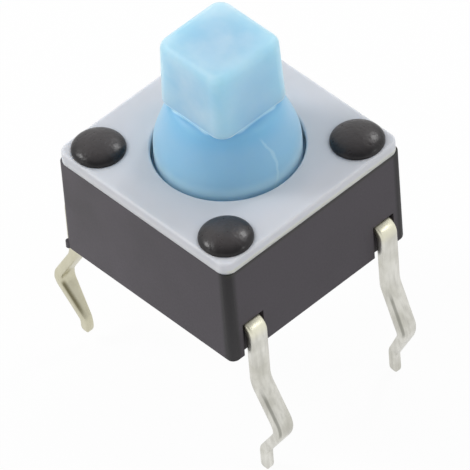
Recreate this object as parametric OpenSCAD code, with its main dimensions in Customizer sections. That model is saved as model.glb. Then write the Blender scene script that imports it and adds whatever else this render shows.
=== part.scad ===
// Tactile push button switch for a circuit board, with kinked through-hole leads.
// The origin is the centre of the housing's underside, where it sits on the board. +Z points up
// along the button's stroke, the leads leave the housing through its -X and +X sides.

/* [Housing] */
// Width of the square housing across its flats
body_w = 6; // [5.8:0.1:6.6]
// Height of the housing wall, from the board to the underside of the cover
wall_h = 3.05; // [2.9:0.05:3.6]
// Radius of the housing's upright corners
corner_r = 0.2; // [0.1:0.05:0.5]
// Thinnest wall between the round well and the housing's sides
well_wall = 0.7; // [0.6:0.02:0.8]
// Radius of the gate nub left at one lower corner
nub_r = 0.12; // [0.08:0.01:0.16]
// Height of the gate nub
nub_h = 0.24; // [0.1:0.02:0.4]
// Radius of the round holes left by the mould's pins that held the lead frames
support_r = 0.32; // [0.2:0.02:0.4]

/* [Lead slots] */
// Clearance of the open slot on each side of a lead
slot_side = 0.225; // [0.1:0.005:0.35]
// Clearance of the slot above a lead
slot_over = 0.08; // [0.04:0.01:0.3]
// Depth of the slot into the wall
slot_d = 0.3; // [0.15:0.05:0.4]

/* [Staked posts] */
// Distance of a post's middle from the two housing sides next to it
post_in = 0.75; // [0.7:0.05:0.85]
// Radius of a post where it passes through the cover
post_r = 0.46; // [0.35:0.01:0.55]
// Radius of the staked head on a post
stake_r = 0.7; // [0.6:0.01:0.75]
// Height of the staked head above the cover
stake_h = 0.28; // [0.2:0.01:0.4]
// Height of the upright rim of the staked head
stake_rim_h = 0.09; // [0.04:0.01:0.15]
// Radius of the slightly domed crown inside the rounded edge
stake_crown_r = 0.42; // [0.3:0.01:0.5]
// Fall of the crown from its middle to the rounded edge
stake_crown_fall = 0.04; // [0.02:0.01:0.08]

/* [Cover] */
// Thickness of the cover plate
cover_t = 0.35; // [0.25:0.01:0.5]
// Radius of the cover's upright corners
cover_corner_r = 0.25; // [0.2:0.05:0.6]
// How far the cover's sides stand back from the housing's sides
cover_inset = 0; // [0:0.01:0.1]
// How far the cover reaches in over the well, round the button
cover_lip = 0.355; // [0.25:0.005:0.45]
// Clearance between a post and its hole in the cover
post_gap = 0.03; // [0.01:0.01:0.06]

/* [Button] */
// Height of the button's top above the board
press_top = 7; // [6.4:0.1:8]
// Stroke of the button
travel = 0.25; // [0.15:0.05:0.35]
// Height of the bell-shaped boss above the cover
boss_h = 1.68; // [1.4:0.02:1.8]
// Width of the square head at its top
head_w = 2.26; // [2:0.02:2.4]
// How much wider the head is at its foot
head_draft = 0.1; // [0:0.01:0.2]
// Radius of the head's upright edges
head_r = 0.3; // [0.2:0.01:0.4]
// Radius of the rounding round the head's top face
head_edge_r = 0.18; // [0.05:0.01:0.19]
// Depth that the head's foot is let into the shoulder
head_sink = 0.04; // [0.02:0.01:0.1]
// Clearance between the boss and the hole in the cover
boss_gap = 0.145; // [0.05:0.005:0.18]
// Radius of the arc by which the boss turns inward above its straight part
bell_r = 1.5; // [1:0.05:2]
// Slope of the boss between that arc and the shoulder, in degrees from upright
boss_slope = 20; // [12:1:24]
// Radius of the rounded shoulder under the head
shoulder_r = 0.12; // [0.05:0.01:0.2]
// Length of the straight part of the boss above the cover
boss_land = 0.1; // [0:0.01:0.2]
// Thickness of the flange that holds the button under the cover
flange_t = 0.45; // [0.3:0.01:0.6]
// Running clearance between the flange and the well
slide_gap = 0.06; // [0.03:0.01:0.1]
// Gap between the flange and the cover at rest
stop_gap = 0.02; // [0.01:0.01:0.04]
// Radius of the pin that pushes the snap dome
pin_r = 0.6; // [0.4:0.01:0.9]
// Size of the cone between pin and flange
pin_cone = 0.45; // [0.2:0.01:0.6]
// Width of the two keys that keep the button from turning
key_w = 0.9; // [0.6:0.02:1.2]
// Reach of a key beyond the round flange
key_reach = 0.2; // [0.1:0.01:0.3]

/* [Leads] */
// How far a row of leads stands out from the housing's side, along X
lead_out = 0.25; // [0.2:0.05:0.4]
// Distance of a lead's middle from the housing's front or rear side, along Y
lead_in = 0.75; // [0.7:0.05:0.8]
// Offset of the lead pattern from the housing's centre, along X
lead_shift = -0.15; // [-0.2:0.01:0.05]
// Width of the lead strip
strip_w = 0.54; // [0.4:0.02:0.6]
// Thickness of the lead strip
strip_t = 0.26; // [0.2:0.01:0.3]
// Height of the strip's upper side above the board
strip_top = 1.04; // [0.9:0.02:1.08]
// Length of a lead below the board
lead_drop = 4.2; // [4.1:0.05:4.5]
// Height of the kink's upper slope
kink_high_h = 1.3; // [1.1:0.05:1.4]
// Height of the kink's lower slope
kink_low_h = 1.2; // [1:0.05:1.4]
// Height of the straight tip below the kink
tip_h = 0.7; // [0.6:0.05:0.9]
// How far the front frame's kinks stand out
kink_out = 0.78; // [0.4:0.02:0.8]
// How far the rear frame's kinks stand out
rear_kink_out = 0.54; // [0.4:0.02:0.8]
// How much lower the outermost point of the rear frame's kinks is
rear_kink_fall = 0.15; // [0:0.05:0.2]
// How much shorter the leads on the -X side are
left_lead_cut = 0.3; // [0:0.05:0.3]
// Bend radius on the strip's centre line where it turns down
turn_r = 0.25; // [0.18:0.01:0.3]
// Bend radius on the strip's centre line where the kink starts
kink_top_r = 0.8; // [0.3:0.05:1]
// Bend radius on the strip's centre line at the kink's outermost point
kink_r = 0.5; // [0.3:0.02:0.6]
// Bend radius on the strip's centre line where the kink ends
kink_foot_r = 0.4; // [0.2:0.02:0.5]
// Width of a lead at its tip
tip_w = 0.24; // [0.2:0.02:0.36]

/* [Contacts] */
// Gap between the snap dome's rim and the wall of the well
dome_side_gap = 0.4; // [0.35:0.01:0.5]
// Thickness of the snap dome
dome_t = 0.06; // [0.04:0.01:0.08]
// Gap between the button's pin and the dome at rest
dome_gap = 0.02; // [0.01:0.01:0.04]
// Height of the outer pads above the floor of the well
pad_rise = 0.08; // [0.05:0.01:0.12]
// Width of a fork arm that carries an outer pad
arm_w = 0.6; // [0.4:0.02:0.7]
// Distance of a fork arm's middle line inside the dome's rim
arm_in = 0.15; // [0.1:0.01:0.25]
// Length of an outer pad, along Y
pad_len = 1.4; // [1:0.05:1.6]
// Width of the tongue that carries the centre contact
tongue_w = 0.8; // [0.6:0.02:1]
// Height of the centre contact above the floor of the well
bump_h = 0.12; // [0.08:0.01:0.15]
// Radius of the centre contact
bump_r = 0.3; // [0.2:0.01:0.38]

/* [Hidden] */

$fn = 96;
// how far a cutting shape runs past the face that it opens
past = 0.5;
// steps of an arc that is drawn as points
arc_steps = 12;
// sides of the rounded edges of the head, which is one hull
hull_fn = 32;

half_w = body_w / 2;
well_r = half_w - well_wall;
cover_top = wall_h + cover_t;
cover_hole_r = well_r - cover_lip;
stake_edge_r = stake_r - stake_crown_r;
post_at = half_w - post_in;
slot_w = strip_w + 2 * slot_side;
slot_h = strip_top + slot_over;
lead_row = body_w + 2 * lead_out;
lead_y = half_w - lead_in;
dome_r = well_r - dome_side_gap;
arm_x = dome_r - arm_in;
support_y = lead_y / 2;
strip_mid = strip_top - strip_t / 2;
kink_end = lead_drop - tip_h;
kink_depth = kink_end - kink_low_h;
kink_start = kink_depth - kink_high_h;
rim_z = strip_top + pad_rise;
dome_rise = travel + bump_h - pad_rise;
dome_top = rim_z + dome_rise + dome_t;
flange_r = well_r - slide_gap;
flange_top = wall_h - stop_gap;
flange_low = flange_top - flange_t;
pin_low = dome_top + dome_gap;
boss_r = cover_hole_r - boss_gap;
bell_low = cover_top + boss_land;
shoulder_z = cover_top + boss_h;
head_foot = shoulder_z - head_sink;

// points on an arc about centre c, from angle a0 to angle a1
function arc_pts(c, r, a0, a1) =
    [for (i = [0 : arc_steps]) c + r * [cos(a0 + (a1 - a0) * i / arc_steps),
                                        sin(a0 + (a1 - a0) * i / arc_steps)]];

// a square with true round corners
module round_square(w, r) {
    square([w - 2 * r, w], center = true);
    square([w, w - 2 * r], center = true);
    for (sx = [-1, 1], sy = [-1, 1])
        translate([sx * (w / 2 - r), sy * (w / 2 - r)]) circle(r);
}

module at_posts() {
    for (sx = [-1, 1], sy = [-1, 1])
        translate([sx * post_at, sy * post_at, 0]) children();
}

// Housing

// low round head that the post's end is pressed into, standing on z = 0
module stake_head() {
    edge_h = stake_h - stake_rim_h - stake_crown_fall;
    edge = [for (i = [0 : arc_steps])
        [stake_crown_r + stake_edge_r * cos(90 * i / arc_steps), stake_rim_h + edge_h * sin(90 * i / arc_steps)]];
    crown = [for (i = [1 : arc_steps])
        [stake_crown_r * (1 - i / arc_steps),
         stake_rim_h + edge_h + stake_crown_fall * (1 - pow(1 - i / arc_steps, 2))]];
    rotate_extrude() polygon(concat([[0, 0], [stake_r, 0]], edge, crown));
}

module lead_slots() {
    for (side = [-1, 1], row = [-1, 1])
        translate([side * (half_w - slot_d / 2 + past / 2), row * lead_y, (slot_h - past) / 2])
            cube([slot_d + past, slot_w, slot_h + past], center = true);
}

// pockets for the button's two keys, open at the top and long enough for its stroke
module key_pockets() {
    low = flange_low - travel - slide_gap;
    translate([0, 0, (low + wall_h + past) / 2])
        cube([2 * (well_r + key_reach), key_w + 2 * slide_gap, wall_h + past - low], center = true);
}

// holes in the underside, up to the fork's arms and the tongue
module support_holes() {
    for (at = [[-arm_x, 0], [arm_x, 0], [0, support_y]])
        translate([at.x, at.y, -past]) cylinder(r = support_r, h = past + strip_top - strip_t);
}

module base_housing() {
    color("#4f4c50") difference() {
        union() {
            linear_extrude(wall_h) round_square(body_w, corner_r);
            at_posts() translate([0, 0, wall_h - past]) cylinder(r = post_r, h = past + cover_t + stake_rim_h);
            at_posts() translate([0, 0, cover_top]) stake_head();
            gate_at = half_w - corner_r * (1 - sqrt(1 / 2));
            translate([-gate_at, -gate_at, 0]) cylinder(r = nub_r, h = nub_h);
        }
        translate([0, 0, strip_top]) cylinder(r = well_r, h = wall_h);
        key_pockets();
        lead_slots();
        support_holes();
        front_frame();
        rear_frame();
    }
}

// Cover

module cover_outline() {
    round_square(body_w - 2 * cover_inset, cover_corner_r);
}

module cover_plate() {
    color("#c9ccd6") difference() {
        translate([0, 0, wall_h]) linear_extrude(cover_t) cover_outline();
        translate([0, 0, wall_h - past]) cylinder(r = cover_hole_r, h = cover_t + 2 * past);
        at_posts() translate([0, 0, wall_h - past]) cylinder(r = post_r + post_gap, h = cover_t + 2 * past);
    }
}

// Button

// one rounded upright edge of the head: a short foot and a top with a rounded rim
module head_corner() {
    foot_in = head_w / 2 + head_draft / 2 - head_r;
    top_in = head_w / 2 - head_r;
    translate([foot_in, foot_in, head_foot]) cylinder(r = head_r, h = head_sink, $fn = hull_fn);
    translate([top_in, top_in, press_top - head_edge_r]) rotate_extrude($fn = hull_fn)
        polygon(concat([[0, 0]], arc_pts([head_r - head_edge_r, 0], head_edge_r, 0, 90), [[0, head_edge_r]]));
}

module square_head() {
    hull() for (turn = [0 : 90 : 270]) rotate(turn) head_corner();
}

// flange, bell-shaped boss and pin in one turned outline
module turned_button() {
    // the bell's arc leaves the boss upright, and a straight slope joins it to the shoulder's arc
    bell_c = [boss_r - bell_r, bell_low];
    lean = [cos(boss_slope), sin(boss_slope)];
    bell_end = bell_c + bell_r * lean;
    shoulder_low = shoulder_z - shoulder_r + shoulder_r * lean.y;
    shoulder_at = bell_end.x - (shoulder_low - bell_end.y) * tan(boss_slope);
    shoulder_c = [shoulder_at - shoulder_r * lean.x, shoulder_z - shoulder_r];
    rotate_extrude() polygon(concat(
        [[0, pin_low], [pin_r, pin_low], [pin_r, flange_low - pin_cone], [pin_r + pin_cone, flange_low],
         [flange_r, flange_low], [flange_r, flange_top], [boss_r, flange_top]],
        arc_pts(bell_c, bell_r, 0, boss_slope),
        arc_pts(shoulder_c, shoulder_r, boss_slope, 90),
        [[0, shoulder_z]]));
}

module plunger() {
    color("#8fc1de") {
        turned_button();
        square_head();
        translate([0, 0, (flange_low + flange_top) / 2])
            cube([2 * (flange_r + key_reach), key_w, flange_t], center = true);
    }
}

// Snap dome

module contact_dome() {
    ball_r = (dome_r * dome_r + dome_rise * dome_rise) / (2 * dome_rise);
    color("#c8c9c4") translate([0, 0, rim_z]) rotate_extrude() intersection() {
        difference() {
            translate([0, dome_rise - ball_r]) circle(ball_r + dome_t);
            translate([0, dome_rise - ball_r]) circle(ball_r);
        }
        square([dome_r, dome_rise + 2 * dome_t]);
    }
}

// Lead frames

function unit(v) = v / norm(v);
function left_of(v) = [-v.y, v.x];
function turned(v, angle) = [v.x * cos(angle) - v.y * sin(angle), v.x * sin(angle) + v.y * cos(angle)];
function reversed(list) = [for (i = [len(list) - 1 : -1 : 0]) list[i]];
// direction of the path's stretch that ends at point i
function heading(path, i) = unit(path[i] - path[i - 1]);
// signed turn of the path at its inner point i
function turn_at(path, i) =
    let (u = heading(path, i), v = heading(path, i + 1)) atan2(u.x * v.y - u.y * v.x, u * v);
// edge of a bent strip, at distance off to the left of its path, with an arc at each inner point
function strip_edge(path, radii, off) = concat(
    [path[0] + off * left_of(heading(path, 1))],
    [for (i = [1 : len(path) - 2])
        let (u = heading(path, i), turn = turn_at(path, i), hand = sign(turn),
             centre = path[i] - radii[i] * tan(abs(turn) / 2) * u + hand * radii[i] * left_of(u),
             spoke = -hand * (radii[i] - hand * off) * left_of(u))
        for (k = [0 : arc_steps]) centre + turned(spoke, turn * k / arc_steps)],
    [path[len(path) - 1] + off * left_of(heading(path, len(path) - 1))]);

// depth of a lead's tip below the board
function tip_depth(side) = lead_drop - (side < 0 ? left_lead_cut : 0);

// side view of one lead's middle line, from the bend in the wall down to its tip
function lead_path(side, out, fall) =
    let (row = side * lead_row / 2 + lead_shift)
    [[row, strip_mid], [row, -kink_start], [row + side * out, -kink_depth - fall], [row, -kink_end],
     [row, -tip_depth(side)]];

// side view of a whole frame: both leads and the strip between them
module frame_side(out, fall) {
    path = concat(reversed(lead_path(-1, out, fall)), lead_path(1, out, fall));
    bends = [turn_r, kink_top_r, kink_r, kink_foot_r, 0];
    radii = concat(reversed(bends), bends);
    polygon(concat(strip_edge(path, radii, strip_t / 2), reversed(strip_edge(path, radii, -strip_t / 2))));
}

// front view of a lead: full width down to the kink, then narrowing to a round tip
module lead_front(depth) {
    tip_z = tip_w / 2 - depth;
    polygon(concat(
        [[strip_w / 2, strip_top + past], [-strip_w / 2, strip_top + past], [-strip_w / 2, -kink_depth],
         [-tip_w / 2, -kink_end]],
        arc_pts([0, tip_z], tip_w / 2, 180, 360),
        [[tip_w / 2, -kink_end], [strip_w / 2, -kink_depth]]));
}

// the front views of both sides, each drawn through its own half and a little over the middle
module lead_fronts() {
    reach = lead_row / 2 + 2 * kink_out;
    rotate([90, 0, 90]) translate([0, 0, -past]) linear_extrude(reach + past) lead_front(tip_depth(1));
    rotate([90, 0, 90]) translate([0, 0, -reach]) linear_extrude(reach + past) lead_front(tip_depth(-1));
}

module lead_pair(out, fall) {
    intersection() {
        rotate([90, 0, 0]) linear_extrude(strip_w, center = true) frame_side(out, fall);
        lead_fronts();
    }
}

// front lead frame, with a fork that carries the two outer pads
module front_frame() {
    arm_reach = lead_y + pad_len / 2;
    translate([0, -lead_y, 0]) lead_pair(kink_out, 0);
    for (side = [-1, 1]) translate([side * arm_x, 0, 0]) {
        translate([-arm_w / 2, -lead_y, strip_top - strip_t]) cube([arm_w, arm_reach, strip_t]);
        translate([-arm_w / 2, -pad_len / 2, strip_top - strip_t]) cube([arm_w, pad_len, strip_t + pad_rise]);
    }
}

// rear lead frame, with a tongue that carries the centre contact
module rear_frame() {
    translate([0, lead_y, 0]) lead_pair(rear_kink_out, rear_kink_fall);
    translate([-tongue_w / 2, -tongue_w / 2, strip_top - strip_t]) cube([tongue_w, lead_y + tongue_w / 2, strip_t]);
    translate([0, 0, strip_top - strip_t]) cylinder(r = bump_r, h = strip_t + bump_h);
}

module terminal_front() {
    color("#cfcdbf") front_frame();
}

module terminal_rear() {
    color("#cfcdbf") rear_frame();
}

base_housing();
cover_plate();
plunger();
contact_dome();
terminal_front();
terminal_rear();
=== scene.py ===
import math

import bmesh
import bpy
from mathutils import Matrix, Vector


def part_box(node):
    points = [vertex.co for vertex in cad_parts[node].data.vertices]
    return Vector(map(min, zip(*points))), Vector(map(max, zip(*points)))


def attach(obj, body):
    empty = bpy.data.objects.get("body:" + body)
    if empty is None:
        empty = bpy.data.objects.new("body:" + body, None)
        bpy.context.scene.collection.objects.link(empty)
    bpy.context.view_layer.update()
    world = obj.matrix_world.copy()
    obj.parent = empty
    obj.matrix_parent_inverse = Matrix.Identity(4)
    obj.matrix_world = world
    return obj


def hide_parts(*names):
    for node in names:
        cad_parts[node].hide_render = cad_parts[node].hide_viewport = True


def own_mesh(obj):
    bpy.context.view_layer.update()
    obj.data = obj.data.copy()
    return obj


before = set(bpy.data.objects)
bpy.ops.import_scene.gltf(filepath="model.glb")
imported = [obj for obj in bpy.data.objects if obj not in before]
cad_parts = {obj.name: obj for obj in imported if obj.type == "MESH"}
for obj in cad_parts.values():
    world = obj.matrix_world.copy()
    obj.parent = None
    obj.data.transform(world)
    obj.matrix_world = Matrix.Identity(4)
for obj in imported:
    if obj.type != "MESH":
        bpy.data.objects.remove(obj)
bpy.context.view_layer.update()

mm = 0.001  # pieces are modelled in millimetres and brought to metres when they are finished
tiny = 0.002  # millimetres, when edges and faces are picked by their place
facing = 0.9  # cosine, when faces are picked by their normal
smoothAngle = 32  # degrees, edges that turn more than this stay sharp
past = 0.5  # how far a cutting tool stands out of what it cuts, in millimetres
print("frame loaded:", ", ".join(sorted(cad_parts)))


def boxOf(node):
    low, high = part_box(node)
    return low / mm, high / mm


# driving sizes that the frame gives, in millimetres
housingHigh = boxOf("base_housing")[1]
coverLow, coverHigh = boxOf("cover_plate")
plungerLow, plungerHigh = boxOf("plunger")
frontLow = boxOf("terminal_front")[0]
domeLow, domeHigh = boxOf("contact_dome")

# and those that more than one piece shares
halfWidth = housingHigh.x
wallTop = coverLow.z
coverTop = coverHigh.z
postAt = 2.25  # the four posts, along X and along Y
leadAt = 2.25  # the two rows of leads, along Y
stripTop = 1.04
stripThickness = 0.26
stripLow = stripTop - stripThickness
wellRadius = 2.3
shoulderLevel = 5.08  # the ledge of the button, under its head


# modelling helpers

def startFresh():
    if bpy.context.mode != "OBJECT":
        bpy.ops.object.mode_set(mode="OBJECT")
    bpy.ops.object.select_all(action="DESELECT")


def only(obj):
    startFresh()
    obj.select_set(True)
    bpy.context.view_layer.objects.active = obj


def applyPlace():
    bpy.ops.object.transform_apply(location=True, rotation=True, scale=True)


def openEdit(obj):
    only(obj)
    bpy.ops.object.mode_set(mode="EDIT")
    bpy.ops.mesh.select_all(action="DESELECT")


def pick(obj, kind, test):
    mode = {"edges": "EDGE", "faces": "FACE"}[kind]
    bpy.ops.mesh.select_mode(type=mode)
    bpy.ops.mesh.select_all(action="DESELECT")
    shape = bmesh.from_edit_mesh(obj.data)
    for item in getattr(shape, kind):
        if test(item):
            item.select_set(True)
    shape.select_flush_mode()
    bmesh.update_edit_mesh(obj.data)


def atHeight(item, height):
    return all(abs(vert.co.z - height) < tiny for vert in item.verts)


def spanOf(edge, axis):
    return abs(edge.verts[0].co[axis] - edge.verts[1].co[axis])


def isUpright(edge):
    return spanOf(edge, 0) < tiny and spanOf(edge, 1) < tiny


def facesUp(face):
    return face.normal.z > facing


def extrudeBy(x, z):
    bpy.ops.mesh.extrude_region_move(TRANSFORM_OT_translate={"value": (x, 0, z)})


def scaleLevel(factor, x, z):
    # what is selected grows or shrinks along X and Y, round the point x, z
    bpy.ops.transform.resize(value=(factor, factor, 1), center_override=(x, 0, z))


def turnOutward():
    bpy.ops.mesh.select_all(action="SELECT")
    bpy.ops.mesh.normals_make_consistent(inside=False)
    startFresh()


def addBox(name, low, high):
    startFresh()
    centre = [(a + b) / 2 for a, b in zip(low, high)]
    size = [b - a for a, b in zip(low, high)]
    bpy.ops.mesh.primitive_cube_add(size=1, location=centre, scale=size)
    obj = bpy.context.object
    obj.name = name
    applyPlace()
    return obj


def addRound(name, radius, low, high, sides, at=(0, 0)):
    startFresh()
    place = (at[0], at[1], (low + high) / 2)
    bpy.ops.mesh.primitive_cylinder_add(vertices=sides, radius=radius, depth=high - low,
                                        location=place)
    obj = bpy.context.object
    obj.name = name
    applyPlace()
    return obj


def raiseRings(name, outline, sides, closed=True):
    # a ring at the outline's first point, extruded and scaled to each next point;
    # closed fills the first ring, otherwise the last one is filled alone
    startFresh()
    radius, height = outline[0]
    fill = "NGON" if closed else "NOTHING"
    bpy.ops.mesh.primitive_circle_add(vertices=sides, radius=radius, fill_type=fill,
                                      location=(0, 0, height))
    obj = bpy.context.object
    obj.name = name
    applyPlace()
    openEdit(obj)
    bpy.ops.mesh.select_all(action="SELECT")
    for (lastRadius, lastHeight), (radius, height) in zip(outline, outline[1:]):
        extrudeBy(0, height - lastHeight)
        scaleLevel(radius / lastRadius, 0, height)
    if not closed:
        bpy.ops.mesh.edge_face_add()
    turnOutward()
    return obj


def arcPoints(centre, radius, fromDeg, toDeg, steps):
    points = []
    for step in range(steps + 1):
        angle = math.radians(fromDeg + (toDeg - fromDeg) * step / steps)
        points.append((centre[0] + radius * math.cos(angle), centre[1] + radius * math.sin(angle)))
    return points


def combine(obj, tool, operation):
    only(obj)
    cut = obj.modifiers.new("cut", "BOOLEAN")
    cut.operation = operation
    cut.solver = "EXACT"
    cut.object = tool
    bpy.ops.object.modifier_apply(modifier=cut.name)
    bpy.data.objects.remove(tool)


def cutAway(obj, tool):
    combine(obj, tool, "DIFFERENCE")


def weld(obj, tool):
    combine(obj, tool, "UNION")


def roundEdges(obj, test, size, segments):
    openEdit(obj)
    pick(obj, "edges", test)
    bpy.ops.mesh.bevel(offset=size, segments=segments, profile=0.5, affect="EDGES",
                       clamp_overlap=True)
    startFresh()


def finish(obj, material, body, node):
    only(obj)
    obj.scale = (mm, mm, mm)
    applyPlace()
    bpy.ops.object.shade_smooth_by_angle(angle=math.radians(smoothAngle))
    even = obj.modifiers.new("even", "WEIGHTED_NORMAL")
    even.keep_sharp = True
    bpy.ops.object.modifier_apply(modifier=even.name)
    obj.data.materials.clear()
    obj.data.materials.append(material)
    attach(obj, body)
    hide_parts(node)


# node helpers

def compute(tree, operation, first, second=None, third=None):
    node = tree.nodes.new("ShaderNodeMath")
    node.operation = operation
    for number, given in enumerate((first, second, third)):
        if isinstance(given, (int, float)):
            node.inputs[number].default_value = given
        elif given is not None:
            tree.links.new(given, node.inputs[number])
    return node.outputs[0]


def ramp(tree, value, start, end):
    # 0 at start, 1 at end, both in millimetres on the piece
    node = tree.nodes.new("ShaderNodeMapRange")
    node.interpolation_type = "SMOOTHSTEP"
    node.inputs["From Min"].default_value = start * mm
    node.inputs["From Max"].default_value = end * mm
    tree.links.new(value, node.inputs["Value"])
    return node.outputs["Result"]


def tintBy(tree, mask, under, colour, share):
    # lays a colour over what is under it, where the mask says
    node = tree.nodes.new("ShaderNodeMix")
    node.data_type = "RGBA"
    node.inputs["B"].default_value = colour
    tree.links.new(compute(tree, "MULTIPLY", mask, share), node.inputs["Factor"])
    tree.links.new(under, node.inputs["A"])
    return node.outputs["Result"]


def layTints(tree, at, under, tints):
    # a tint is its colour, its share and its ramps, and it lies where all its ramps are high;
    # a ramp is a measure, the place where it is 0 and the place where it is 1
    for colour, share, ramps in tints:
        masks = [ramp(tree, at[measure], start, end) for measure, start, end in ramps]
        mask = masks[0]
        for other in masks[1:]:
            mask = compute(tree, "MULTIPLY", mask, other)
        under = tintBy(tree, mask, under, colour, share)
    return under


# camera

camera = {
    "azimuth": 49.27,
    "elevation": 45.6,
    "roll": -4.82,
    "distance": 200,  # from the origin, in millimetres
    "aside": (-0.025, 0.145),  # of the picture's middle from the origin, in millimetres
    "imageSide": 470,
    "pixelsPerMm": 40.22,  # at the origin
    "sensor": 36,
    "clipStart": 10,
}


def placeCamera():
    angles = (camera["azimuth"], camera["elevation"], camera["roll"])
    azimuth, elevation, roll = (math.radians(angle) for angle in angles)
    level = math.cos(elevation)
    back = Vector((math.sin(azimuth) * level, -math.cos(azimuth) * level, math.sin(elevation)))
    right = Vector((math.cos(azimuth), math.sin(azimuth), 0))
    up = back.cross(right)
    rollRight = right * math.cos(roll) + up * math.sin(roll)
    rollUp = up * math.cos(roll) - right * math.sin(roll)
    data = bpy.data.cameras.new("camera")
    data.sensor_width = camera["sensor"]
    framed = camera["imageSide"] / camera["pixelsPerMm"]
    data.lens = camera["distance"] / framed * camera["sensor"]
    data.clip_start = camera["clipStart"] * mm
    obj = bpy.data.objects.new("camera", data)
    bpy.context.scene.collection.objects.link(obj)
    asideX, asideY = camera["aside"]
    place = rollRight * asideX + rollUp * asideY + back * camera["distance"]
    turn = Matrix((rollRight, rollUp, back)).transposed().to_4x4()
    obj.matrix_world = Matrix.Translation(place * mm) @ turn
    bpy.context.scene.camera = obj


# floor, studio and lamps

stage = {
    "floorSide": 900,
    "floorColour": (0.86, 0.86, 0.86, 1),
    "whiteShare": 0.95,  # of what the camera sees of the floor, the rest holds the shadow
    "tentColour": (0.92, 0.925, 0.93, 1),  # pale cloth round the sides
    "ceilingColour": (0.36, 0.36, 0.37, 1),  # the dark opening above, on the camera's side
    "ceilingAt": (0.25, -0.22, 0.94),
    "ceilingEdge": (0.5, 0.9),  # cosines of the angles where it begins and where it is full
    "lamps": [
        # name, azimuth from +X and elevation, distance and size in millimetres, watts
        ("backSoftbox", (97, 45), 180, 40, 0.06),
        ("leftSoftbox", (-145, 45), 180, 50, 0.1),
        ("frontSoftbox", (-115, 20), 180, 40, 0.015),
        ("rightSoftbox", (30, 35), 180, 30, 0.02),
    ],
}


def floorMaterial():
    material = bpy.data.materials.new("paleFloor")
    material.use_nodes = True
    tree = material.node_tree
    tree.nodes.clear()
    out = tree.nodes.new("ShaderNodeOutputMaterial")
    matt = tree.nodes.new("ShaderNodeBsdfDiffuse")
    matt.inputs["Color"].default_value = stage["floorColour"]
    white = tree.nodes.new("ShaderNodeEmission")
    paths = tree.nodes.new("ShaderNodeLightPath")
    seen = paths.outputs["Is Camera Ray"]
    for kind in ("Is Glossy Ray", "Is Transmission Ray"):
        seen = compute(tree, "MAXIMUM", seen, paths.outputs[kind])
    blend = tree.nodes.new("ShaderNodeMixShader")
    tree.links.new(compute(tree, "MULTIPLY", seen, stage["whiteShare"]), blend.inputs[0])
    tree.links.new(matt.outputs[0], blend.inputs[1])
    tree.links.new(white.outputs[0], blend.inputs[2])
    tree.links.new(blend.outputs[0], out.inputs["Surface"])
    return material


def addFloor():
    startFresh()
    bpy.ops.mesh.primitive_plane_add(size=stage["floorSide"] * mm,
                                     location=(0, 0, frontLow.z * mm))
    floor = bpy.context.object
    floor.name = "floor"
    floor.data.materials.append(floorMaterial())


def lightStudio():
    world = bpy.data.worlds.new("studio")
    bpy.context.scene.world = world
    world.use_nodes = True
    tree = world.node_tree
    backdrop = tree.nodes["Background"]
    direction = tree.nodes.new("ShaderNodeTexCoord")
    ceiling = tree.nodes.new("ShaderNodeVectorMath")
    ceiling.operation = "DOT_PRODUCT"
    ceiling.inputs[1].default_value = Vector(stage["ceilingAt"]).normalized()
    edge = tree.nodes.new("ShaderNodeMapRange")
    edge.interpolation_type = "SMOOTHSTEP"
    begins, full = stage["ceilingEdge"]
    edge.inputs["From Min"].default_value = begins
    edge.inputs["From Max"].default_value = full
    light = tree.nodes.new("ShaderNodeMix")
    light.data_type = "RGBA"
    light.inputs["A"].default_value = stage["tentColour"]
    light.inputs["B"].default_value = stage["ceilingColour"]
    tree.links.new(direction.outputs["Generated"], ceiling.inputs[0])
    tree.links.new(ceiling.outputs["Value"], edge.inputs["Value"])
    tree.links.new(edge.outputs["Result"], light.inputs["Factor"])
    tree.links.new(light.outputs["Result"], backdrop.inputs["Color"])


def hangLamps():
    for name, (azimuth, elevation), distance, size, power in stage["lamps"]:
        data = bpy.data.lights.new(name, "AREA")
        data.shape = "DISK"
        data.size = size * mm
        data.energy = power
        lamp = bpy.data.objects.new(name, data)
        bpy.context.scene.collection.objects.link(lamp)
        swing, rise = math.radians(azimuth), math.radians(elevation)
        level = math.cos(rise)
        way = Vector((math.cos(swing) * level, math.sin(swing) * level, math.sin(rise)))
        lamp.location = way * distance * mm
        lamp.rotation_euler = (-way).to_track_quat("-Z", "Y").to_euler()


# moulded skin: soft clouds of colour and a fine grain, in the material of every piece

mouldedDefaults = {
    "inputs": [
        ("Colour", "NodeSocketColor", (0.5, 0.5, 0.5, 1)),
        ("Cloud Colour", "NodeSocketColor", (0.4, 0.4, 0.4, 1)),
        ("Cloud Scale", "NodeSocketFloat", 500.0),
        ("Grain Scale", "NodeSocketFloat", 9000.0),
        ("Gloss Low", "NodeSocketFloat", 0.4),
        ("Gloss High", "NodeSocketFloat", 0.5),
    ],
    "outputs": [
        ("Colour", "NodeSocketColor"),
        ("Roughness", "NodeSocketFloat"),
        ("Height", "NodeSocketFloat"),
    ],
    "cloudDetail": 3,
    "cloudEdges": (0.35, 0.65),  # of the noise, where the one colour ends and the other begins
    "grainDetail": 2,
}


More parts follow.
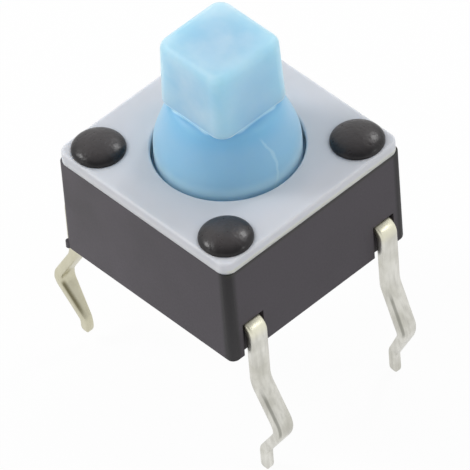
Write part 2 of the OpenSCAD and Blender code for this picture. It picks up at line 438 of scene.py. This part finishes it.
def buildMouldedSkin():
    tree = bpy.data.node_groups.new("mouldedSkin", "ShaderNodeTree")
    for name, kind, value in mouldedDefaults["inputs"]:
        socket = tree.interface.new_socket(name, in_out="INPUT", socket_type=kind)
        socket.default_value = value
    for name, kind in mouldedDefaults["outputs"]:
        tree.interface.new_socket(name, in_out="OUTPUT", socket_type=kind)
    nodes, links = tree.nodes, tree.links
    given = nodes.new("NodeGroupInput")
    gives = nodes.new("NodeGroupOutput")
    place = nodes.new("ShaderNodeTexCoord")
    clouds = nodes.new("ShaderNodeTexNoise")
    clouds.inputs["Detail"].default_value = mouldedDefaults["cloudDetail"]
    grain = nodes.new("ShaderNodeTexNoise")
    grain.inputs["Detail"].default_value = mouldedDefaults["grainDetail"]
    spread = nodes.new("ShaderNodeMapRange")
    low, high = mouldedDefaults["cloudEdges"]
    spread.inputs["From Min"].default_value = low
    spread.inputs["From Max"].default_value = high
    tint = nodes.new("ShaderNodeMix")
    tint.data_type = "RGBA"
    gloss = nodes.new("ShaderNodeMapRange")
    links.new(place.outputs["Object"], clouds.inputs["Vector"])
    links.new(place.outputs["Object"], grain.inputs["Vector"])
    links.new(given.outputs["Cloud Scale"], clouds.inputs["Scale"])
    links.new(given.outputs["Grain Scale"], grain.inputs["Scale"])
    links.new(clouds.outputs["Fac"], spread.inputs["Value"])
    links.new(spread.outputs["Result"], tint.inputs["Factor"])
    links.new(given.outputs["Colour"], tint.inputs["A"])
    links.new(given.outputs["Cloud Colour"], tint.inputs["B"])
    links.new(grain.outputs["Fac"], gloss.inputs["Value"])
    links.new(given.outputs["Gloss Low"], gloss.inputs["To Min"])
    links.new(given.outputs["Gloss High"], gloss.inputs["To Max"])
    links.new(tint.outputs["Result"], gives.inputs["Colour"])
    links.new(gloss.outputs["Result"], gives.inputs["Roughness"])
    links.new(grain.outputs["Fac"], gives.inputs["Height"])
    return tree


mouldedSkin = buildMouldedSkin()


def startMaterial(name, piece):
    # the piece's own shader values, its skin and its grain; gives the skin's colour too
    material = bpy.data.materials.new(name)
    material.use_nodes = True
    tree = material.node_tree
    shader = tree.nodes["Principled BSDF"]
    for socket, value in piece["shader"].items():
        shader.inputs[socket].default_value = value
    skin = tree.nodes.new("ShaderNodeGroup")
    skin.node_tree = mouldedSkin
    for socket, value in piece["skin"].items():
        skin.inputs[socket].default_value = value
    bump = tree.nodes.new("ShaderNodeBump")
    bump.inputs["Distance"].default_value = piece["grainDepth"] * mm
    bump.inputs["Strength"].default_value = 1
    tree.links.new(skin.outputs["Colour"], shader.inputs["Base Color"])
    tree.links.new(skin.outputs["Roughness"], shader.inputs["Roughness"])
    tree.links.new(skin.outputs["Height"], bump.inputs["Height"])
    tree.links.new(bump.outputs["Normal"], shader.inputs["Normal"])
    return material, skin.outputs["Colour"]


def placeOf(tree):
    # the measures of a point on the piece: its place, and its x, y and z
    place = tree.nodes.new("ShaderNodeTexCoord")
    parts = tree.nodes.new("ShaderNodeSeparateXYZ")
    tree.links.new(place.outputs["Object"], parts.inputs["Vector"])
    return {"place": place.outputs["Object"], "x": parts.outputs["X"],
            "y": parts.outputs["Y"], "z": parts.outputs["Z"]}


def fromMiddle(tree, at, choice):
    # how far the point is from the middle along X and along Y, the lesser or the greater
    return compute(tree, choice, *(compute(tree, "ABSOLUTE", at[axis]) for axis in "xy"))


def addNoise(tree, place, scale, detail):
    noise = tree.nodes.new("ShaderNodeTexNoise")
    noise.inputs["Scale"].default_value = scale
    noise.inputs["Detail"].default_value = detail
    tree.links.new(place, noise.inputs["Vector"])
    return noise.outputs["Fac"]


def paint(tree, colour):
    tree.links.new(colour, tree.nodes["Principled BSDF"].inputs["Base Color"])


# housing

housing = {
    "cornerRadius": 0.2,
    "cornerSegments": 8,
    "lowerEdge": 0.05,
    "lowerSegments": 3,
    "upperEdge": 0.03,
    "upperSegments": 2,
    "slotDepth": 0.17,
    "slotHalf": 0.355,
    "slotTop": 1.1,
    "keyHalf": 0.51,
    "keyReach": 2.5,
    "keyFloor": 2.27,
    "nubRadius": 0.08,
    "nubHeight": 0.2,
    "supportRadius": 0.32,
    "supportAt": [(-1.75, 0), (1.75, 0), (0, 1.125)],
    "wellSides": 128,
    "smallSides": 32,
    "skin": {
        "Colour": (0.084, 0.075, 0.086, 1),
        "Cloud Colour": (0.066, 0.060, 0.066, 1),
        "Cloud Scale": 700.0,
        "Grain Scale": 16000.0,
        "Gloss Low": 0.5,
        "Gloss High": 0.66,
    },
    "grainDepth": 0.0015,
    "shader": {"Specular IOR Level": 0.38},
    "tints": [
        # painted shade: slowly darker towards +X, as the light falls from the -X side
        ((0.047, 0.040, 0.049, 1), 0.85, [("x", -3.8, 2.4)]),
        # painted shade down the upright corners of the +X side
        ((0.012, 0.011, 0.012, 1), 0.9, [("lesser", halfWidth - 0.34, halfWidth - 0.2),
                                         ("x", -0.5, 0.5)]),
        # painted shadow, a dark line under the cover's edge, on that side
        ((0.024, 0.025, 0.018, 1), 0.75, [("z", wallTop - 0.14, wallTop - 0.05),
                                          ("x", 2.85, 2.97)]),
    ],
}


def housingMaterial():
    material, colour = startMaterial("housingPlastic", housing)
    tree = material.node_tree
    at = placeOf(tree)
    at["lesser"] = fromMiddle(tree, at, "MINIMUM")
    paint(tree, layTints(tree, at, colour, housing["tints"]))
    return material


def buildHousing():
    body = addBox("housingBody", (-halfWidth, -halfWidth, 0), (halfWidth, halfWidth, wallTop))
    roundEdges(body, isUpright, housing["cornerRadius"], housing["cornerSegments"])
    roundEdges(body, lambda edge: atHeight(edge, 0), housing["lowerEdge"],
               housing["lowerSegments"])
    roundEdges(body, lambda edge: atHeight(edge, wallTop), housing["upperEdge"],
               housing["upperSegments"])

    # lead slots in both side walls
    slotHalf, slotFloor = housing["slotHalf"], halfWidth - housing["slotDepth"]
    for side in (-1, 1):
        inner, outer = sorted((side * slotFloor, side * (halfWidth + past)))
        for row in (-leadAt, leadAt):
            cutAway(body, addBox("slot", (inner, row - slotHalf, -past),
                                 (outer, row + slotHalf, housing["slotTop"])))

    # well for the dome and the button, with two keyways
    cutAway(body, addRound("well", wellRadius, stripTop, wallTop + past, housing["wellSides"]))
    reach, keyHalf = housing["keyReach"], housing["keyHalf"]
    cutAway(body, addBox("keys", (-reach, -keyHalf, housing["keyFloor"]),
                         (reach, keyHalf, wallTop + past)))

    # blind holes of the mould's pins, and the gate nub
    for at in housing["supportAt"]:
        cutAway(body, addRound("support", housing["supportRadius"], -past, stripLow,
                               housing["smallSides"], at))
    nubAt = halfWidth - housing["cornerRadius"] * (1 - math.sqrt(0.5))
    weld(body, addRound("nub", housing["nubRadius"], 0, housing["nubHeight"],
                        housing["smallSides"], (-nubAt, -nubAt)))
    finish(body, finishes["housing"], "switch_body", "base_housing")


# staked post ends, which are the housing's own plastic pressed flat

staked = {
    "postRadius": 0.46,
    "postDepth": 0.2,  # of the part that stands in the housing's wall
    "radius": 0.69,
    "rim": 0.03,
    "fullness": 1.8,  # 2 is an ellipse, less is more pointed
    "topRadius": 0.02,
    "steps": 14,
    "sides": 64,
    "skin": {
        "Colour": (0.008, 0.007, 0.008, 1),
        "Cloud Colour": (0.020, 0.018, 0.019, 1),
        "Cloud Scale": 2600.0,
        "Grain Scale": 7000.0,
        "Gloss Low": 0.2,
        "Gloss High": 0.42,
    },
    "grainDepth": 0.014,
    "shader": {"Specular IOR Level": 0.3, "Coat Weight": 0.05},
    "tints": [
        # painted highlight: the tops paler, where they face the lamps above
        ((0.072, 0.064, 0.064, 1), 0.7, [("z", coverTop + 0.1, coverTop + 0.26)]),
    ],
}


def stakedMaterial():
    material, colour = startMaterial("stakedPlastic", staked)
    tree = material.node_tree
    paint(tree, layTints(tree, placeOf(tree), colour, staked["tints"]))
    return material


def buildStakedPosts():
    rimTop = coverTop + staked["rim"]
    rise = housingHigh.z - rimTop
    power = 2 / staked["fullness"]
    outline = [(staked["postRadius"], wallTop - staked["postDepth"]),
               (staked["postRadius"], coverTop), (staked["radius"], coverTop)]
    for step in range(staked["steps"]):
        angle = math.radians(90 * step / staked["steps"])
        outline.append((staked["radius"] * math.cos(angle) ** power,
                        rimTop + rise * math.sin(angle) ** power))
    outline.append((staked["topRadius"], housingHigh.z))
    first = raiseRings("stakedPost", outline, staked["sides"])
    corners = [(x, y) for x in (-postAt, postAt) for y in (-postAt, postAt)]
    for number, (x, y) in enumerate(corners, 1):
        post = first.copy()
        post.data = first.data.copy()
        post.name = f"stakedPost_{number}"
        bpy.context.scene.collection.objects.link(post)
        post.location = (x, y, 0)
        only(post)
        applyPlace()
        finish(post, finishes["staked"], "switch_body", "base_housing")
    bpy.data.objects.remove(first)


# cover plate

cover = {
    "cornerRadius": 0.31,
    "cornerSegments": 12,
    "holeRadius": 1.925,
    "holeSides": 160,
    "holeEdge": 0.06,
    "holeSegments": 3,
    "postHole": 0.49,
    "postHoleSides": 48,
    "upperEdge": 0.29,
    "upperSegments": 8,
    "outerBand": 0.1,  # the plate's outline lies in it, also at the rounded corners
    "skin": {
        "Colour": (0.63, 0.645, 0.69, 1),
        "Cloud Colour": (0.58, 0.615, 0.66, 1),
        "Cloud Scale": 450.0,
        "Grain Scale": 12000.0,
        "Gloss Low": 0.58,
        "Gloss High": 0.7,
    },
    "grainDepth": 0.0006,
    "shader": {
        "Specular IOR Level": 0.3,
        "Subsurface Weight": 1,
        "Subsurface Radius": (1.0, 0.95, 0.9),
        "Subsurface Scale": 0.25 * mm,
    },
    "tints": [
        # painted blue light from the button, round the hole in the milky plastic
        ((0.50, 0.57, 0.61, 1), 0.3, [("out", 2.7, 2.0)]),
        # less blue towards the outline
        ((0.63, 0.635, 0.66, 1), 0.5, [("greater", 2.2, 2.75)]),
        # painted shade on the rounded upper edge, but for the +X side, to hold down the light it
        # catches
        ((0.53, 0.535, 0.56, 1), 0.55, [("z", coverTop, coverTop - 0.06), ("x", 2.9, 2.6)]),
        # painted light, paler down the sides
        ((0.67, 0.675, 0.69, 1), 0.8, [("z", wallTop + 0.22, wallTop + 0.06)]),
        # painted light, a pale cream rim along the foot of the +X side, where light shows through
        # the edge
        ((0.70, 0.71, 0.60, 1), 0.7, [("z", wallTop + 0.14, wallTop + 0.08), ("x", 2.9, 2.96)]),
    ],
}


def coverMaterial():
    material, colour = startMaterial("coverPlastic", cover)
    tree = material.node_tree
    at = placeOf(tree)
    at["greater"] = fromMiddle(tree, at, "MAXIMUM")
    squares = [compute(tree, "POWER", at[axis], 2) for axis in "xy"]
    at["out"] = compute(tree, "SQRT", compute(tree, "ADD", *squares))
    paint(tree, layTints(tree, at, colour, cover["tints"]))
    return material


def buildCover():
    half = coverHigh.x
    plate = addBox("coverPlate", (-half, -half, wallTop), (half, half, coverTop))
    roundEdges(plate, isUpright, cover["cornerRadius"], cover["cornerSegments"])
    low, high = wallTop - past, coverTop + past
    cutAway(plate, addRound("hole", cover["holeRadius"], low, high, cover["holeSides"]))
    for x in (-postAt, postAt):
        for y in (-postAt, postAt):
            cutAway(plate, addRound("postHole", cover["postHole"], low, high,
                                    cover["postHoleSides"], (x, y)))

    def onOutline(edge):
        away = [max(abs(vert.co.x), abs(vert.co.y)) for vert in edge.verts]
        return atHeight(edge, coverTop) and min(away) > half - cover["outerBand"]

    def onHole(edge):
        away = [vert.co.xy.length for vert in edge.verts]
        return atHeight(edge, coverTop) and max(away) < cover["holeRadius"] + tiny

    roundEdges(plate, onOutline, cover["upperEdge"], cover["upperSegments"])
    roundEdges(plate, onHole, cover["holeEdge"], cover["holeSegments"])
    finish(plate, finishes["cover"], "switch_body", "cover_plate")


# push button

button = {
    "pinRadius": 0.6,
    "pinCone": 0.45,
    "flangeTop": 3.03,
    "flangeThickness": 0.45,
    "keyHalf": 0.45,
    "bossRadius": 1.84,
    "bellLow": 3.5,
    "bellRadius": 1.5,
    "bellSteps": 12,
    "slope": 20,  # of the boss above the bell's arc, in degrees from upright
    "shoulderRadius": 0.32,
    "shoulderSteps": 8,
    "sides": 160,
    "headTop": 2.26,
    "headFoot": 2.36,
    "headSink": 0.04,
    "steep": 1,  # an edge that climbs more than this is one of the head's four upright ones
    "uprightRadius": 0.37,
    "topRadius": 0.21,
    "headSegments": 8,
    "footRadius": 0.08,
    "footSegments": 3,
    "skin": {
        "Colour": (0.44, 0.63, 0.75, 1),
        "Cloud Colour": (0.32, 0.565, 0.72, 1),
        "Cloud Scale": 1100.0,
        "Grain Scale": 7000.0,
        "Gloss Low": 0.38,
        "Gloss High": 0.5,
    },
    "grainDepth": 0.0012,
    "shader": {
        "Subsurface Weight": 0.9,
        "Subsurface Radius": (0.85, 0.95, 1.0),
        "Subsurface Scale": 1.6 * mm,
        "Sheen Weight": 0.3,
        "Sheen Roughness": 0.5,
    },
    # a painted highlight runs in a long arc down the +X side of the boss, as a strip lamp's
    # reflection would
    "glintLevel": 4.0,  # where the arc reaches furthest
    "glintBend": 0.4,  # how far it falls back, 1 mm above or below that
    "glintWaver": 0.3,
    "glintNoise": (1600, 3),  # scale and detail
    "tints": [
        # painted shade, deeper blue on the +X side of the head
        ((0.35, 0.64, 0.82, 1), 0.55, [("x", 0.6, 1.15)]),
        # the boss, deeper because less light comes through it
        ((0.24, 0.50, 0.72, 1), 0.85, [("z", shoulderLevel + 0.14, shoulderLevel - 0.02)]),
        # the boss's shade under the head
        ((0.15, 0.47, 0.73, 1), 0.5, [("z", shoulderLevel - 0.68, shoulderLevel - 0.18),
                                      ("z", shoulderLevel + 0.04, shoulderLevel - 0.02)]),
        # painted light on the boss's foot, by the pale cover, where the gap shades it
        ((0.42, 0.70, 0.88, 1), 0.7, [("z", 3.8, 3.45)]),
        # painted light on the ledge, under the middle of each side of the head, where it faces up
        ((0.64, 0.84, 0.92, 1), 0.75, [("z", shoulderLevel - 0.08, shoulderLevel - 0.03),
                                       ("z", shoulderLevel + 0.07, shoulderLevel + 0.02),
                                       ("lesser", 1.05, 0.8), ("greater", 1.23, 1.17)]),
        # the painted highlight's arc
        ((0.55, 0.78, 0.88, 1), 0.35, [("glint", 0.06, 0.01), ("x", 0.9, 1.2),
                                       ("z", shoulderLevel - 0.28, shoulderLevel - 0.48)]),
    ],
}


def buttonMaterial():
    material, colour = startMaterial("buttonPlastic", button)
    tree = material.node_tree
    at = placeOf(tree)
    at["lesser"] = fromMiddle(tree, at, "MINIMUM")
    at["greater"] = fromMiddle(tree, at, "MAXIMUM")
    fromLevel = compute(tree, "SUBTRACT", at["z"], button["glintLevel"] * mm)
    arc = compute(tree, "MULTIPLY_ADD", compute(tree, "POWER", fromLevel, 2),
                  button["glintBend"] / mm, at["y"])
    arc = compute(tree, "SUBTRACT", arc, button["glintWaver"] / 2 * mm)
    waver = addNoise(tree, at["place"], *button["glintNoise"])
    arc = compute(tree, "MULTIPLY_ADD", waver, button["glintWaver"] * mm, arc)
    at["glint"] = compute(tree, "ABSOLUTE", arc)
    paint(tree, layTints(tree, at, colour, button["tints"]))
    return material


def bossOutline():
    # pin, flange, bell and shoulder, as radius and height from the pin's end to the ledge
    flangeRadius = plungerHigh.y
    flangeTop = button["flangeTop"]
    flangeLow = flangeTop - button["flangeThickness"]
    pinRadius, pinCone = button["pinRadius"], button["pinCone"]
    bossRadius, bellRadius = button["bossRadius"], button["bellRadius"]
    slope = math.radians(button["slope"])
    bell = arcPoints((bossRadius - bellRadius, button["bellLow"]), bellRadius, 0,
                     button["slope"], button["bellSteps"])
    shoulderRadius = button["shoulderRadius"]
    shoulderLow = shoulderLevel - shoulderRadius * (1 - math.sin(slope))
    bellEndRadius, bellEndHeight = bell[-1]
    shoulderAt = bellEndRadius - (shoulderLow - bellEndHeight) * math.tan(slope)
    shoulderCentre = (shoulderAt - shoulderRadius * math.cos(slope),
                      shoulderLevel - shoulderRadius)
    outline = [(pinRadius, plungerLow.z), (pinRadius, flangeLow - pinCone),
               (pinRadius + pinCone, flangeLow), (flangeRadius, flangeLow),
               (flangeRadius, flangeTop), (bossRadius, flangeTop)]
    return outline + bell + arcPoints(shoulderCentre, shoulderRadius, button["slope"], 90,
                                      button["shoulderSteps"])


def buildHead():
    half = button["headFoot"] / 2
    foot, top = shoulderLevel - button["headSink"], plungerHigh.z
    head = addBox("head", (-half, -half, foot), (half, half, top))
    openEdit(head)
    pick(head, "faces", facesUp)
    scaleLevel(button["headTop"] / button["headFoot"], 0, top)
    startFresh()
    roundEdges(head, lambda edge: spanOf(edge, 2) > button["steep"], button["uprightRadius"],
               button["headSegments"])
    roundEdges(head, lambda edge: atHeight(edge, top), button["topRadius"],
               button["headSegments"])
    roundEdges(head, lambda edge: atHeight(edge, foot), button["footRadius"],
               button["footSegments"])
    return head


def buildButton():
    turned = raiseRings("pushButton", bossOutline(), button["sides"])
    keyReach, keyHalf, flangeTop = plungerHigh.x, button["keyHalf"], button["flangeTop"]
    weld(turned, addBox("keys", (-keyReach, -keyHalf, flangeTop - button["flangeThickness"]),
                        (keyReach, keyHalf, flangeTop)))
    weld(turned, buildHead())
    finish(turned, finishes["button"], "button", "plunger")


# lead frames: a strip that is bent down on both sides, with a kink, and its contacts in the well

lead = {
    "shift": -0.15,  # of the pattern's middle, along X
    "rowHalf": 3.25,
    "width": 0.54,
    "edge": 0.07,
    "edgeSegments": 3,
    "startHalf": 0.05,  # of the short piece that both ends are drawn from
    "kinkStart": -1.0,
    "kinkDepth": -2.3,
    "kinkEnd": -3.5,
    "bends": [0.25, 0.8, 0.5, 0.4],  # radii on the middle line, from the wall down
    "bendSteps": 8,
    "leftTip": -3.9,
    "tipRise": 0.8,  # height of the rounded end, as a share of the tip's width
    "tipBlunt": 0.6,  # 1 is an ellipse, less is blunter
    "tipSweep": 86,  # degrees of the round that are drawn, the rest is the small end face
    "tipSteps": 8,
    "skin": {
        "Colour": (0.76, 0.75, 0.70, 1),
        "Cloud Colour": (0.58, 0.57, 0.51, 1),
        "Cloud Scale": 1500.0,
        "Grain Scale": 9000.0,
        "Gloss Low": 0.3,
        "Gloss High": 0.46,
    },
    "grainDepth": 0.0012,
    "shader": {"Metallic": 1},
    # drawn streaks run down the strip
    "streakStretch": 0.12,
    "streakNoise": (9000, 3),  # scale and detail
    "streakEdges": (0.42, 0.68),
    "streakColour": (0.44, 0.43, 0.39, 1),
    "streakShare": 0.45,
    "taper": (0.11, 0.453),  # the narrowing strip's edge: its slope, and its place at the board
    "tints": [
        # painted shade, a dark line down the +X leads, near the -Y edge of the strip
        ((0.20, 0.20, 0.17, 1), 0.65, [("across", -0.26, -0.23), ("across", -0.14, -0.19),
                                       ("z", -1.1, -1.4), ("z", -2.5, -2.3), ("x", 0, 0.1)]),
        # paler and warmer at the bends in the wall, a painted warm highlight
        ((0.92, 0.89, 0.68, 1), 0.7, [("z", 0.5, 0.95)]),
        # and a darker yellow tone on the -X side, its darkness painted shade
        ((0.66, 0.62, 0.42, 1), 0.6, [("x", -2.9, -3.2)]),
        # painted shade, a dark line on the way back from the kink, along the narrowing edge
        ((0.16, 0.14, 0.07, 1), 0.85, [("edge", -0.07, -0.02), ("edge", 0.12, 0),
                                       ("z", -2.3, -2.45), ("z", -3.5, -3.0), ("x", 0, -0.1)]),
    ],
}
frontLead = {
    "kinkOut": 0.78,
    "kinkFall": 0,
    "tipWidth": 0.25,
    "armAt": 1.75,
    "armWidth": 0.6,
    "padLength": 1.4,
    "padRise": 0.08,
}
rearLead = {
    "kinkOut": 0.54,
    "kinkFall": 0.15,
    "tipWidth": 0.2,
    "tongueWidth": 0.8,
    "bumpRadius": 0.3,
    "bumpHeight": 0.12,
    "bumpSides": 48,
}


def addStreaks(tree, at, colour):
    along = tree.nodes.new("ShaderNodeMapping")
    along.inputs["Scale"].default_value = (1, 1, lead["streakStretch"])
    spread = tree.nodes.new("ShaderNodeMapRange")
    low, high = lead["streakEdges"]
    spread.inputs["From Min"].default_value = low
    spread.inputs["From Max"].default_value = high
    tree.links.new(at["place"], along.inputs["Vector"])
    streaks = addNoise(tree, along.outputs["Vector"], *lead["streakNoise"])
    tree.links.new(streaks, spread.inputs["Value"])
    return tintBy(tree, spread.outputs["Result"], colour, lead["streakColour"],
                  lead["streakShare"])


def leadMaterial():
    material, colour = startMaterial("leadPlating", lead)
    tree = material.node_tree
    at = placeOf(tree)
    # across is measured from the middle of the strip's row, edge from its narrowing edge
    at["across"] = compute(tree, "MULTIPLY_ADD", compute(tree, "SIGN", at["y"]), -leadAt * mm,
                           at["y"])
    slope, level = lead["taper"]
    at["edge"] = compute(tree, "ADD", compute(tree, "MULTIPLY_ADD", at["z"], slope, level * mm),
                         at["across"])
    paint(tree, layTints(tree, at, addStreaks(tree, at, colour), lead["tints"]))
    return material


def roundTip(at, end, rise):
    # straight down, then in steps that narrow the end face to a round tip
    low = end.y + rise
    extrudeBy(end.x - at.x, low - at.y)
    wide, level = 1, low
    for step in range(1, lead["tipSteps"] + 1):
        angle = math.radians(lead["tipSweep"] * step / lead["tipSteps"])
        nextWide = math.cos(angle) ** lead["tipBlunt"]
        nextLevel = low - rise * math.sin(angle)
        extrudeBy(0, nextLevel - level)
        scaleLevel(nextWide / wide, end.x, nextLevel)
        wide, level = nextWide, nextLevel


def bendStrip(path, radii, tipRise):
    # the strip's end face goes from bend to bend: straight extrusions, a spin at each inner
    # point and the round tip at the last one; points are (x, z)
    points = [Vector(point) for point in path]
    at = points[0]
    for last, here, following, radius in zip(points, points[1:], points[2:], radii):
        along = (here - last).normalized()
        onward = (following - here).normalized()
        turn = math.atan2(along.x * onward.y - along.y * onward.x, along.dot(onward))
        trim = radius * math.tan(abs(turn) / 2)
        before = here - along * trim
        extrudeBy(before.x - at.x, before.y - at.y)
        centre = before + Vector((-along.y, along.x)) * math.copysign(radius, turn)
        bpy.ops.mesh.spin(steps=lead["bendSteps"], angle=turn, center=(centre.x, 0, centre.y),
                          axis=(0, 1, 0), use_auto_merge=False)
        at = here + onward * trim
    roundTip(at, points[-1], tipRise)


def buildLeadPair(name, ownSizes):
    half, start = lead["width"] / 2, lead["startHalf"]
    middle = stripTop - stripThickness / 2
    kinkStart, kinkDepth, kinkEnd = lead["kinkStart"], lead["kinkDepth"], lead["kinkEnd"]
    tipWidth = ownSizes["tipWidth"]
    pair = addBox(name, (-start, -half, stripLow), (start, half, stripTop))
    roundEdges(pair, lambda edge: spanOf(edge, 0) > start, lead["edge"], lead["edgeSegments"])
    openEdit(pair)
    for side, tip in ((1, frontLow.z), (-1, lead["leftTip"])):
        pick(pair, "faces", lambda face: (face.normal.x * side > facing
                                          and face.calc_center_median().x * side > 0))
        row = side * lead["rowHalf"] + lead["shift"]
        kink = (row + side * ownSizes["kinkOut"], kinkDepth - ownSizes["kinkFall"])
        path = [(side * start, middle), (row, middle), (row, kinkStart), kink, (row, kinkEnd),
                (row, tip)]
        bendStrip(path, lead["bends"], tipWidth * lead["tipRise"])
    startFresh()

    # the strip narrows on the way back from the kink, and stays narrow to its tip
    narrow = 1 - tipWidth / lead["width"]
    for vert in pair.data.vertices:
        share = (kinkDepth - vert.co.z) / (kinkDepth - kinkEnd)
        vert.co.y *= 1 - narrow * min(max(share, 0), 1)
    return pair


def moveToRow(pair, y):
    only(pair)
    pair.location.y = y
    applyPlace()


def finishLeads(pair, node):
    openEdit(pair)
    turnOutward()
    finish(pair, finishes["lead"], "switch_body", node)


def buildFrontFrame():
    pair = buildLeadPair("frontLeadFrame", frontLead)
    moveToRow(pair, -leadAt)
    padEnd = frontLead["padLength"] / 2
    for side in (-1, 1):
        inner = side * frontLead["armAt"] - frontLead["armWidth"] / 2
        outer = inner + frontLead["armWidth"]
        arm = addBox("arm", (inner, -leadAt, stripLow), (outer, padEnd, stripTop))
        openEdit(arm)
        pick(arm, "faces", facesUp)
        bpy.ops.mesh.bisect(plane_co=(0, -padEnd, 0), plane_no=(0, 1, 0))
        pick(arm, "faces", lambda face: facesUp(face) and face.calc_center_median().y > -padEnd)
        extrudeBy(0, frontLead["padRise"])
        weld(pair, arm)
    finishLeads(pair, "terminal_front")


def buildRearFrame():
    pair = buildLeadPair("rearLeadFrame", rearLead)
    moveToRow(pair, leadAt)
    half = rearLead["tongueWidth"] / 2
    weld(pair, addBox("tongue", (-half, -half, stripLow), (half, leadAt, stripTop)))
    weld(pair, addRound("bump", rearLead["bumpRadius"], stripLow,
                        stripTop + rearLead["bumpHeight"], rearLead["bumpSides"]))
    finishLeads(pair, "terminal_rear")


# snap dome

dome = {
    "thickness": 0.06,
    "rings": 12,
    "sides": 96,
    "middleRadius": 0.1,
    "pressedShare": 0.33,  # of its height that is left when the button is down
    "skin": {
        "Colour": (0.62, 0.62, 0.60, 1),
        "Cloud Colour": (0.55, 0.55, 0.53, 1),
        "Cloud Scale": 1200.0,
        "Grain Scale": 12000.0,
        "Gloss Low": 0.2,
        "Gloss High": 0.32,
    },
    "grainDepth": 0.0006,
    "shader": {"Metallic": 1},
}


def domeMaterial():
    return startMaterial("springSteel", dome)[0]


def buildDome():
    rise = domeHigh.z - domeLow.z - dome["thickness"]
    rim = domeHigh.x
    ball = (rim ** 2 + rise ** 2) / (2 * rise)
    outline = []
    for step in range(dome["rings"] + 1):
        radius = rim + (dome["middleRadius"] - rim) * step / dome["rings"]
        outline.append((radius, domeLow.z + rise - ball + math.sqrt(ball ** 2 - radius ** 2)))
    sheet = raiseRings("snapDome", outline, dome["sides"], closed=False)
    only(sheet)
    wall = sheet.modifiers.new("wall", "SOLIDIFY")
    wall.thickness = dome["thickness"]
    wall.offset = 1
    bpy.ops.object.modifier_apply(modifier=wall.name)
    finish(sheet, finishes["dome"], "switch_body", "contact_dome")
    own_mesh(sheet)


placeCamera()
addFloor()
lightStudio()
hangLamps()
bpy.context.scene.view_settings.view_transform = "Standard"
print("camera, floor and lamps placed")

finishes = {
    "housing": housingMaterial(),
    "staked": stakedMaterial(),
    "cover": coverMaterial(),
    "button": buttonMaterial(),
    "lead": leadMaterial(),
    "dome": domeMaterial(),
}
print("materials built")

buildHousing()
print("housing modelled")
buildStakedPosts()
print("staked posts modelled")
buildCover()
print("cover modelled")
buildButton()
print("button modelled")
buildFrontFrame()
buildRearFrame()
print("lead frames modelled")
buildDome()
print("snap dome modelled")
